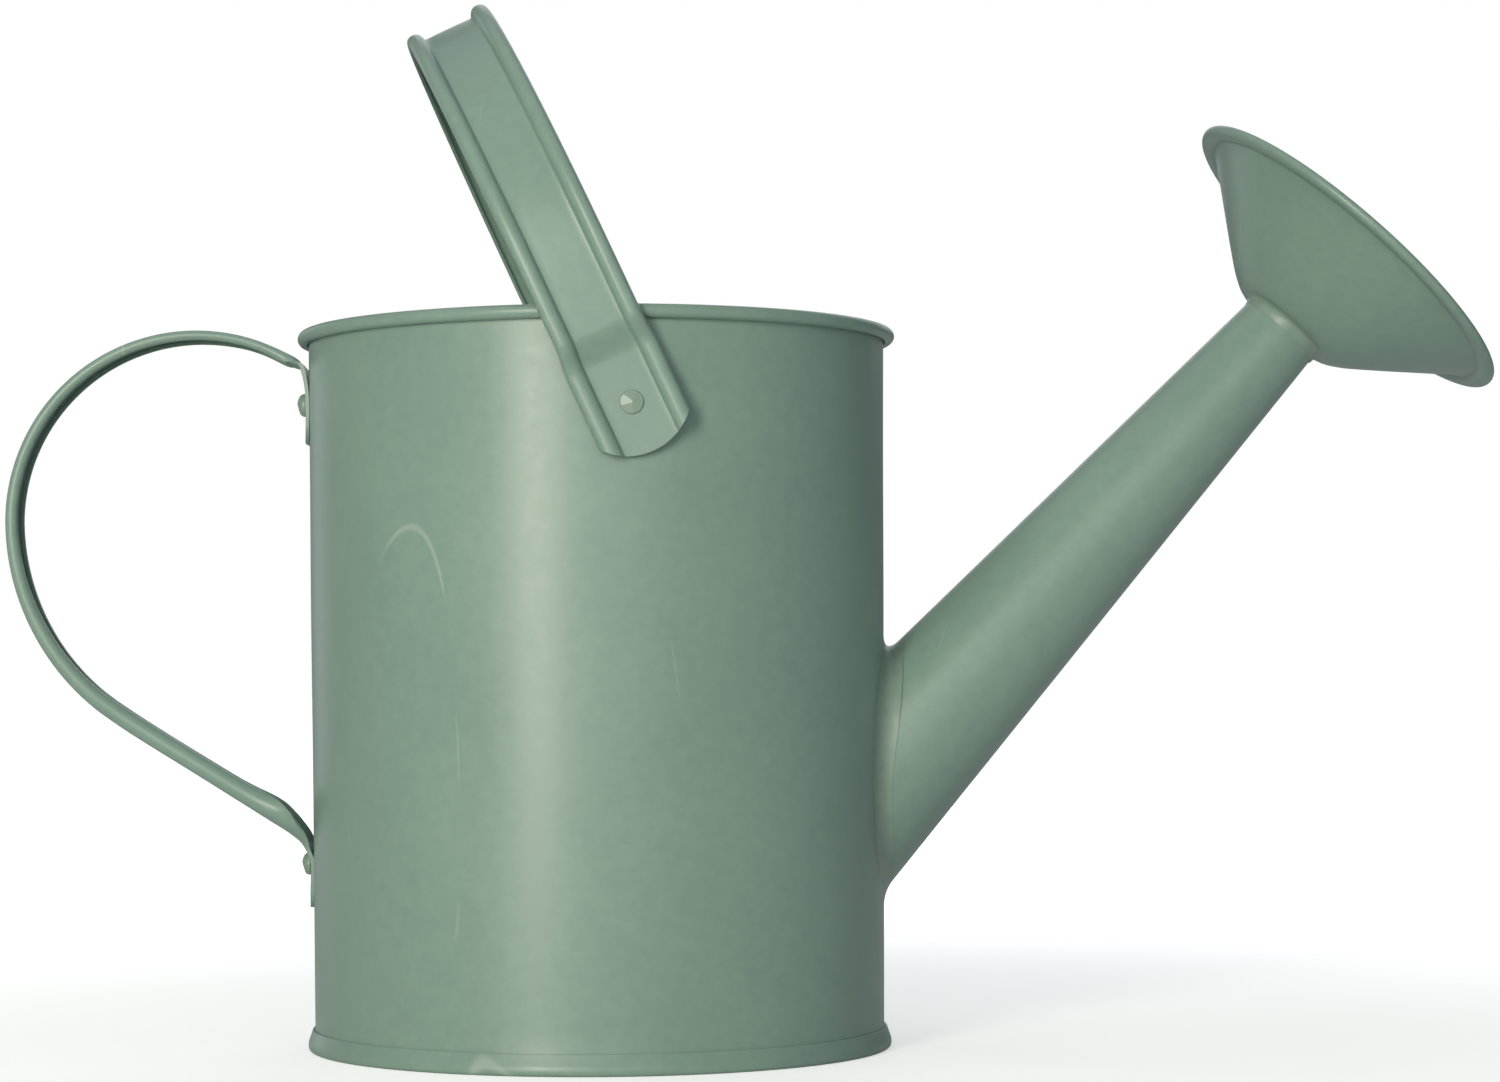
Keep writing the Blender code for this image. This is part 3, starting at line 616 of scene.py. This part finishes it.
def make_rose():
    """Bell back, and the perforated face crimped round its flange."""
    half = SHEET / 2
    edge = ROSE_R - half
    back = -2 * SHEET
    dome = [(DOME_R * i / 10, ROSE_DOME * (1 - (i / 10) ** 2) + DOME_FOOT * (i / 10)) for i in range(10)]
    crimp = [
        (DOME_R, DOME_FOOT),
        (edge, 0.1 * MM),
        (edge - 0.1 * MM, back - 0.4 * MM),
        (44.4 * MM, back - 0.6 * MM),
        (ROSE_R - ROSE_LIP, back - 0.15 * MM),
    ]
    line = [Vector(point) for point in dome] + eased(crimp, 1.2 * MM, 6)
    face = turned("rose_face", sheet_outline(line, SHEET, 1.6 * MM), ROSE_STEPS, ROSE_FRAME)
    face = less(face, rose_hole_cutter())
    add_piece("rose_face_sheet", face, "can", SHEET_ENAMEL, ["rose_face"])

    neck = spout_radius(SPOUT_LENGTH) + PAINT_GAP
    shoulder = -ROSE_DEPTH + half
    profile = [
        (edge - SHEET, -SHEET),
        (43.6 * MM, -SHEET),
        (40.9 * MM, -2.5 * MM),
        (24.3 * MM, -16.2 * MM),
        (18.4 * MM, -20.9 * MM),
        (14.2 * MM, shoulder),
        (neck, shoulder),
    ]
    line = eased(profile, 1.9 * MM, 7)
    mesh = turned("rose_back", sheet_outline(line, SHEET), ROSE_STEPS, ROSE_FRAME)
    add_piece("rose_bell", mesh, "can", SHEET_ENAMEL, ["rose_back"])

    def lumps(around, height):
        """Uneven run of solder, thickest in three places."""
        spot = Vector((cos(around) * 2.2, sin(around) * 2.2, height / (2 * MM)))
        return 0.35 * MM * noise.noise(spot) + 0.18 * MM * max(0, cos(3 * around + 0.6)) ** 4

    bore = spout_radius(SPOUT_LENGTH - 2.6 * MM) - 0.05 * MM
    top = -ROSE_DEPTH + 0.05 * MM
    ring = eased(
        [
            (bore + 1.9 * MM, top),
            (bore + 0.5 * MM, top - 0.5 * MM),
            (bore + 0.02 * MM, top - 2.7 * MM),
        ],
        1.2 * MM,
        6,
    )
    ring += [Vector((bore - 0.2 * MM, top - 2.7 * MM)), Vector((bore - 0.2 * MM, top))]
    mesh = turned("rose_solder", ring, SPOUT_STEPS, ROSE_FRAME, wobble=lumps)
    add_piece("rose_neck_solder", mesh, "can", SOLDER_ENAMEL, ["rose_solder"])


def rose_hole_cutter():
    """Rods for the punched holes: a middle one, and rings with six more each."""
    rods = bmesh.new()
    for ring in range(ROSE_HOLE_RINGS + 1):
        for i in range(max(1, 6 * ring)):
            around = 2 * pi * i / max(1, 6 * ring)
            spot = Vector((cos(around), sin(around), 0)) * (ring * ROSE_HOLE_PITCH)
            bmesh.ops.create_cone(
                rods,
                cap_ends=True,
                segments=14,
                radius1=ROSE_HOLE_R,
                radius2=ROSE_HOLE_R,
                depth=4 * ROSE_DOME,
                matrix=ROSE_FRAME @ Matrix.Translation(spot + Vector((0, 0, 2 * ROSE_DOME - SHEET))),
            )
    mesh = bpy.data.meshes.new("rose_holes")
    rods.to_mesh(mesh)
    rods.free()
    return mesh


# ---------------------------------------------------------------- bail

def make_bail():
    """Beaded strap from the near pivot over the arch to the far one."""
    side = [
        (0, 0),
        (3.5, 0),
        (6.5, 0),
        (7.1, 0.25),
        (7.4, 0.95),
        (7.85, 1.75),
        (8.65, 2.2),
        (9.75, 2.2),
        (10.5, 1.85),
        (10.9, 1.1),
        (11.0, 0.1),
    ]
    run = flowing([(across * MM, out * MM) for across, out in side], 4)
    middle = [(-across, out) for across, out in run[:0:-1]] + run
    outline = sheet_outline(middle, STRAP)
    arch_z = BAIL_REACH - BAIL_CROWN - STRAP / 2 - BAIL_HIGH
    rows = []
    for i in range(13):
        row = []
        for across, out in outline:
            end = BAIL_TAIL - BAIL_END_R + sqrt(BAIL_END_R ** 2 - across ** 2)
            row.append((across, -BAIL_LOW - out, -end + (JOGGLE_START + end) * i / 12))
        rows.append(row)
    for i in range(1, 17):
        share = i / 16
        ease = share * share * (3 - 2 * share)
        width = 1 + (BAIL_ARCH_SHARE - 1) * ease
        z = JOGGLE_START + (JOGGLE_END - JOGGLE_START) * share
        y = -BAIL_LOW - (BAIL_HIGH - BAIL_LOW) * ease
        rows.append([(across * width, y - out, z) for across, out in outline])
    for i in range(1, 4):
        z = JOGGLE_END + (arch_z - JOGGLE_END) * i / 4
        rows.append([(across * BAIL_ARCH_SHARE, -BAIL_HIGH - out, z) for across, out in outline])
    for y, z in arc((0, 0), 1, pi, pi / 2, 40):
        rows.append([
            (across * BAIL_ARCH_SHARE, y * (BAIL_HIGH + out), arch_z + z * (BAIL_HIGH + out))
            for across, out in outline
        ])
    rows += [[(x, -y, z) for x, y, z in row] for row in rows[-2::-1]]
    rows = [[BAIL_FRAME @ Vector(point) for point in row] for row in rows]
    mesh = skin("bail", rows, capped=True)
    add_piece("bail_strap", mesh, "bail", SHEET_ENAMEL, ["bail_handle"], 0.15 * MM)


# ---------------------------------------------------------------- rear handle

def handle_stations():
    """Stations along the strip: x, z, share of the edges' roll, radius of the roll, half-width."""
    half = STRAP / 2
    tab_top = -(body_radius(UPPER_RIVET_Z) + PAINT_GAP + half)
    tab_low = -(body_radius(LOWER_RIVET_Z) + PAINT_GAP + half)
    upper_r = UPPER_ARC_R - half
    lower_r = LOWER_ARC_R - half
    upper = arc((half + upper_r - HANDLE_REACH, HANDLE_Z), upper_r, pi / 2 - UPPER_SLOPE, pi, 12)
    lower = arc((half + lower_r - HANDLE_REACH, HANDLE_Z), lower_r, pi, 3 * pi / 2 - LOWER_SLOPE, 6)
    corner = [(d, HANDLE_HALF - TAB_CORNER + sqrt(TAB_CORNER ** 2 - (TAB_CORNER - d) ** 2))
              for d in (0, 0.1 * MM, 0.5 * MM, 1.3 * MM, 2.5 * MM, TAB_CORNER)]

    stations = [(tab_top, UPPER_TAB_FOOT + d, 0, ROLL_TOP_R, width) for d, width in corner]
    bend_x = tab_top - 1.6 * MM
    bend_z = upper[0][1] - (bend_x - upper[0][0]) * tan(UPPER_SLOPE)
    stations += [
        (tab_top, bend_z - 8.7 * MM, 0, ROLL_TOP_R, HANDLE_HALF),
        (tab_top - 0.5 * MM, bend_z - 4.5 * MM, 0, ROLL_TOP_R, HANDLE_HALF),
        (bend_x + 0.1 * MM, bend_z - 1.0 * MM, 0, ROLL_TOP_R, HANDLE_HALF),
        (bend_x - 0.7 * MM, bend_z + 0.25 * MM, 0.2, ROLL_TOP_R, HANDLE_HALF),
    ]
    for i, (x, z) in enumerate(upper):
        radius = ROLL_TOP_R + (ROLL_BACK_R - ROLL_TOP_R) * i / 12
        stations.append((x, z, min(1, 0.7 + 0.3 * i), radius, HANDLE_HALF))
    for i, (x, z) in enumerate(lower[1:], 1):
        radius = ROLL_BACK_R + (ROLL_LOW_R - ROLL_BACK_R) * i / 6
        stations.append((x, z, 1, radius, HANDLE_HALF))
    last_x, last_z = lower[-1]
    bend_x = tab_low - 3.2 * MM
    bend_z = last_z - (bend_x - last_x) * tan(LOWER_SLOPE)
    for share, roll in ((0.4, 1), (0.68, 0.9), (0.84, 0.62), (0.95, 0.3)):
        x = last_x + (bend_x - last_x) * share
        z = last_z + (bend_z - last_z) * share
        stations.append((x, z, roll, ROLL_LOW_R, HANDLE_HALF))
    stations += [
        (bend_x + 0.9 * MM, bend_z - 1.2 * MM, 0.12, ROLL_LOW_R, HANDLE_HALF),
        (tab_low - 0.9 * MM, bend_z - 3.2 * MM, 0.03, ROLL_BACK_R, HANDLE_HALF),
        (tab_low, bend_z - 5.4 * MM, 0, ROLL_BACK_R, HANDLE_HALF),
    ]
    stations += [(tab_low, LOWER_TAB_FOOT + d, 0, ROLL_BACK_R, width) for d, width in corner[::-1]]
    return stations


def make_rear_handle():
    """Strip swept along its path, with rolled edges that open out into tabs wrapped on the wall."""
    run = flowing(handle_stations(), 5)
    points = [Vector(row[:2]) for row in run]
    points = [points[0] * 2 - points[1]] + points + [points[-1] * 2 - points[-2]]
    rows = []
    for i, (_, _, roll, full_radius, width) in enumerate(run):
        back, here, ahead = points[i:i + 3]
        along = (ahead - back).normalized()
        normal = Vector((along.y, -along.x))
        rolled = full_radius * HANDLE_ROLL
        turn = HANDLE_ROLL * max(roll, 0.01)
        radius = rolled / turn
        flat = max(0.5 * MM, width - rolled)
        side = [(flat * k / 4, 0) for k in range(5)]
        for k in range(1, 17):
            a = turn * k / 16
            side.append((flat + radius * sin(a), radius * (cos(a) - 1)))
        outline = sheet_outline([(-across, up) for across, up in side[:0:-1]] + side, STRAP)
        wrap = max(0, 1 - 4 * roll)
        row = []
        for across, up in outline:
            sag = wrap * (BODY_TOP_R - sqrt(BODY_TOP_R ** 2 - across ** 2))
            row.append((here.x + normal.x * up + sag, across, here.y + normal.y * up))
        rows.append(row)
    mesh = skin("rear_handle", rows, capped=True)
    add_piece("rear_handle_strip", mesh, "can", SHEET_ENAMEL, ["rear_handle"], 0.12 * MM)


# ---------------------------------------------------------------- rivets

def make_rivet(name, node, place, head_r, head, depth, facets):
    """Rivet with its shank, and its tail closed inside the can. Facets are the tilts left by a hammer."""
    crown = [(head_r * sin(a), head * cos(a) ** 0.8) for a in [radians(90) * i / 16 for i in range(16)]]
    crown[0] = (0, head)
    outline = crown + [
        (head_r, head * 0.12),
        (head_r * 0.985, 0),
        (1.6 * MM, 0),
        (1.6 * MM, depth),
        (2.2 * MM, depth),
        (2.6 * MM, depth - 0.3 * MM),
        (2.4 * MM, depth - 0.9 * MM),
        (1.6 * MM, depth - 1.2 * MM),
        (0, depth - 1.25 * MM),
    ]
    mesh = turned(name, outline, RIVET_STEPS, place)
    made = bmesh.new()
    made.from_mesh(mesh)
    for around, tilt, height in facets:
        normal = Vector((sin(tilt) * cos(around), sin(tilt) * sin(around), cos(tilt)))
        cut = bmesh.ops.bisect_plane(
            made,
            geom=made.verts[:] + made.edges[:] + made.faces[:],
            plane_co=place @ Vector((0, 0, height)),
            plane_no=place.to_3x3() @ normal,
            clear_outer=True,
        )
        edges = [e for e in cut["geom_cut"] if isinstance(e, bmesh.types.BMEdge)]
        bmesh.ops.holes_fill(made, edges=edges)
    made.to_mesh(mesh)
    made.free()
    add_piece(name, mesh, "can", RIVET_ENAMEL, [node], crease=radians(11))


def make_rivets():
    """Two flat hammered rivets that the bail turns on, and two domed ones through the rear handle."""
    seat = BAIL_LOW + STRAP / 2 + 0.12 * MM
    for name, side in (("near", 1), ("far", -1)):
        place = Matrix.Translation((PIVOT_X, -side * seat, PIVOT_Z))
        place = place @ Matrix.Rotation(side * pi / 2, 4, "X")
        facets = [
            (0.4, radians(12), 0.98 * MM),
            (1.7, radians(14), 1.0 * MM),
            (2.9, radians(11), 0.94 * MM),
            (4.2, radians(14), 1.0 * MM),
            (5.4, radians(12), 0.98 * MM),
        ]
        make_rivet("pivot_rivet_" + name + "_head", "pivot_rivet_" + name, place,
                   2.8 * MM, 1.1 * MM, -3.9 * MM, facets)
    for name, z in (("upper", UPPER_RIVET_Z), ("lower", LOWER_RIVET_Z)):
        seat = body_radius(z) + PAINT_GAP + STRAP
        place = Matrix.Translation((-seat, 0, z)) @ Matrix.Rotation(-pi / 2, 4, "Y")
        facets = [(0.9, radians(16), 2.1 * MM), (3.6, radians(20), 2.2 * MM)]
        make_rivet("handle_rivet_" + name + "_head", "handle_rivet_" + name, place,
                   2.9 * MM, 2.3 * MM, -2.6 * MM, facets)


# ---------------------------------------------------------------- studio

def white_paper(name):
    """Matt white paper with painted light: it glows to plain white away from the can, for the camera only.
    Nearer the can the glow is weaker, so it keeps a soft shadow near it.
    """
    material = bpy.data.materials.new(name)
    material.use_nodes = True
    tree = material.node_tree
    shader = tree.nodes["Principled BSDF"]
    shader.inputs["Base Color"].default_value = linear("E6E6E4")
    shader.inputs["Roughness"].default_value = 0.9
    place = add_node(tree, "ShaderNodeTexCoord").outputs["Object"]
    # Painted light: seen by the camera, the paper glows at half strength near the can, rising to full
    # strength 0.7 m away.
    away = add_node(tree, "ShaderNodeVectorMath", {0: place}, operation="LENGTH")
    glow = add_node(
        tree,
        "ShaderNodeMapRange",
        {"Value": away.outputs["Value"], "From Min": 0.15, "From Max": 0.7, "To Min": 0.5, "To Max": 1.0},
        interpolation_type="SMOOTHSTEP",
    )
    seen = add_node(tree, "ShaderNodeLightPath")
    light = add_node(
        tree,
        "ShaderNodeMath",
        {0: glow.outputs[0], 1: seen.outputs["Is Camera Ray"]},
        operation="MULTIPLY",
    )
    shader.inputs["Emission Color"].default_value = (1, 1, 1, 1)
    tree.links.new(light.outputs[0], shader.inputs["Emission Strength"])
    return material


def make_studio():
    """Pale floor, a bright surround, a warm tall key light on the left and broad fills all round."""
    bpy.ops.mesh.primitive_plane_add(size=40)
    floor = bpy.context.object
    floor.name = "floor"
    floor.data.materials.append(white_paper("matt_white_paper"))

    world = bpy.data.worlds.new("studio")
    bpy.context.scene.world = world
    world.use_nodes = True
    tree = world.node_tree
    surround = tree.nodes["Background"]
    surround.inputs["Color"].default_value = (0.86, 0.98, 1.0, 1)
    surround.inputs["Strength"].default_value = 0.18
    backdrop = add_node(tree, "ShaderNodeBackground", {"Color": (1, 1, 1, 1), "Strength": 1.0})
    seen = add_node(tree, "ShaderNodeLightPath")
    mix = add_node(
        tree,
        "ShaderNodeMixShader",
        {0: seen.outputs["Is Camera Ray"], 1: surround.outputs[0], 2: backdrop.outputs[0]},
    )
    tree.links.new(mix.outputs[0], tree.nodes["World Output"].inputs["Surface"])

    centre = AXIS.translation + Vector((0, 0, 0.12))
    lights = (
        ("key", (-0.62, -1.45, 0.34), (0.34, 0.95), 17.0, (1.0, 0.92, 0.79)),
        ("front_fill", (0.1, -2.2, 0.6), (1.6, 1.2), 8.6, (0.95, 1.0, 1.0)),
        ("overhead", (-0.3, 0.1, 1.6), (1.8, 1.8), 5.0, (0.94, 0.99, 1.0)),
        ("rear_fill", (0.5, 2.0, 1.1), (1.8, 1.4), 9.0, (0.96, 0.99, 1.0)),
        ("left_rim", (-1.1, 1.5, 0.4), (0.4, 1.2), 1.6, (0.92, 0.98, 1.0)),
    )
    for name, spot, (width, height), watts, colour in lights:
        data = bpy.data.lights.new(name, "AREA")
        data.shape = "RECTANGLE"
        data.size = width
        data.size_y = height
        data.energy = watts
        data.color = colour
        lamp = bpy.data.objects.new(name, data)
        lamp.location = AXIS.translation + Vector(spot)
        lamp.rotation_euler = (centre - lamp.location).to_track_quat("-Z", "Y").to_euler()
        bpy.context.scene.collection.objects.link(lamp)

    data = bpy.data.cameras.new("camera")
    data.sensor_width = 36
    data.lens = 85.8
    data.shift_x = 0.0773
    data.shift_y = 0.093
    camera = bpy.data.objects.new("camera", data)
    camera.location = AXIS.translation + Vector((9.0 * MM, -894 * MM, 91.2 * MM))
    camera.rotation_euler = (pi / 2, radians(0.36), 0)     # level, and rolled by a third of a degree
    bpy.context.scene.collection.objects.link(camera)
    bpy.context.scene.camera = camera
    bpy.context.scene.view_settings.view_transform = "Standard"


make_body()
make_base()
make_spout()
make_spout_fillet()
make_rose()
make_bail()
make_rear_handle()
make_rivets()
for node in ("rim_wire", "handle_rivet_upper_washer", "handle_rivet_lower_washer",
             "pivot_rivet_near_washer", "pivot_rivet_far_washer"):
    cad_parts[node].data.materials.clear()
    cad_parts[node].data.materials.append(WIRE_ZINC if node == "rim_wire" else RIVET_ENAMEL)
make_studio()
